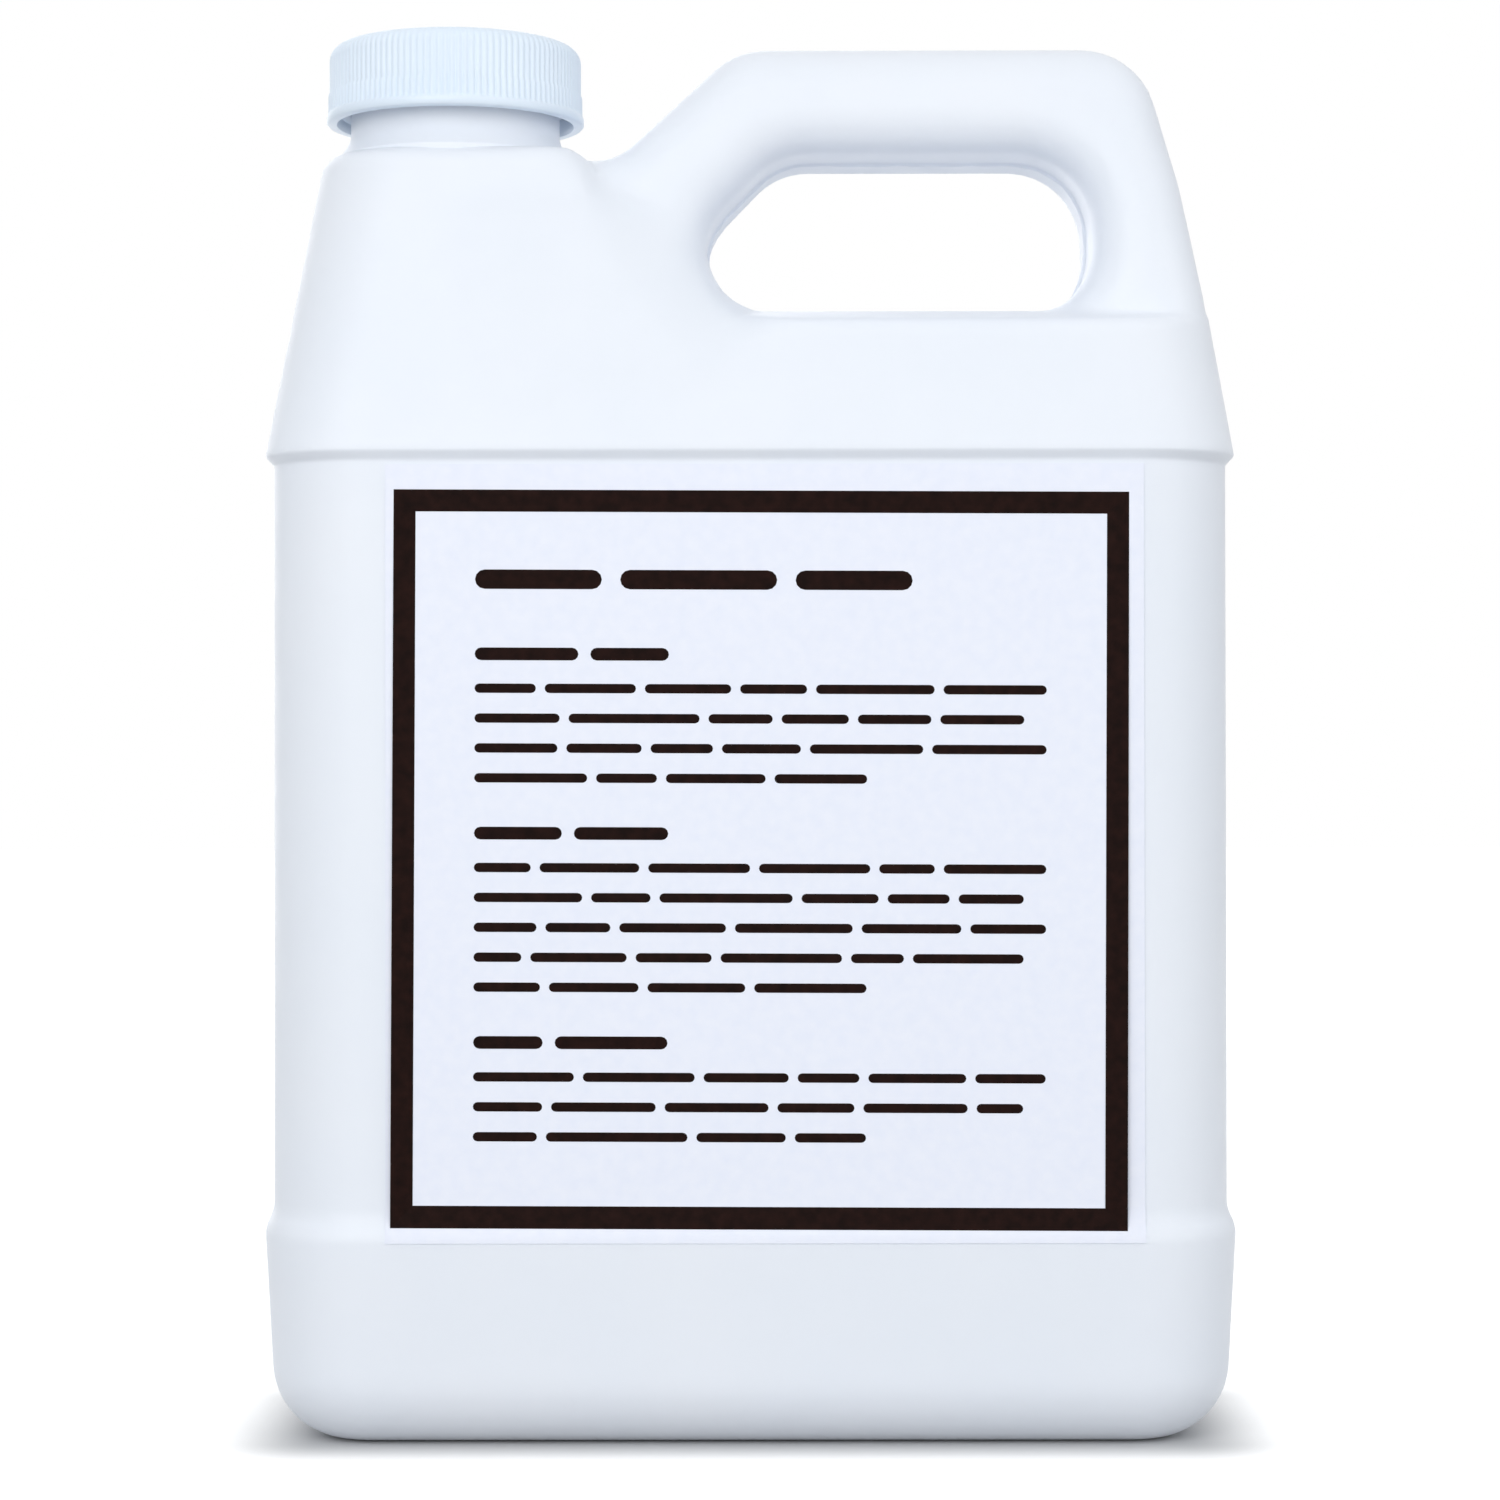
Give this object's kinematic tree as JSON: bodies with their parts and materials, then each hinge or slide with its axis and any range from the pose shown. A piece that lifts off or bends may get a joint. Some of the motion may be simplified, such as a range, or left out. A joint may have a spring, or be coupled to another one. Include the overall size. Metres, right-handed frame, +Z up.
{
  "type": "laundry detergent bottle",
  "caption": "White blow-moulded jug with a built-in handle, a recessed label panel, a paper label and a ribbed screw cap that unscrews from its threaded neck.",
  "frame": {"origin": "middle of the base at floor level", "axes": "+Z up, -Y towards the label, +X towards the handle, so the neck is at -X"},
  "size_m": [0.133, 0.0531, 0.1929],
  "materials": {
    "jug_plastic": "satin moulded polyethylene",
    "cap_plastic": "satin moulded polypropylene",
    "liner_foam": "matte foamed polyethylene",
    "label_paper": "smooth uncoated paper with a dark printed frame"
  },
  "bodies": {
    "jug": {"jug": "jug_plastic", "front_label": "label_paper"},
    "liner": {"cap_liner": "liner_foam"},
    "cap": {"screw_cap": "cap_plastic"}
  },
  "joints": [
    {"name": "cap_lift", "type": "slide", "parent": "jug", "child": "liner", "axis": [0, 0, 1], "range_m": [0, 0.017]},
    {"name": "cap_turn", "type": "hinge", "parent": "liner", "child": "cap", "pos_m": [-0.0414, 0, 0.1867], "axis": [0, 0, 1], "range_deg": [0, 1440]}
  ],
  "couplings": [
    {"joint": "cap_lift", "follows": "cap_turn", "m_per_rad": 0.00067376}
  ]
}
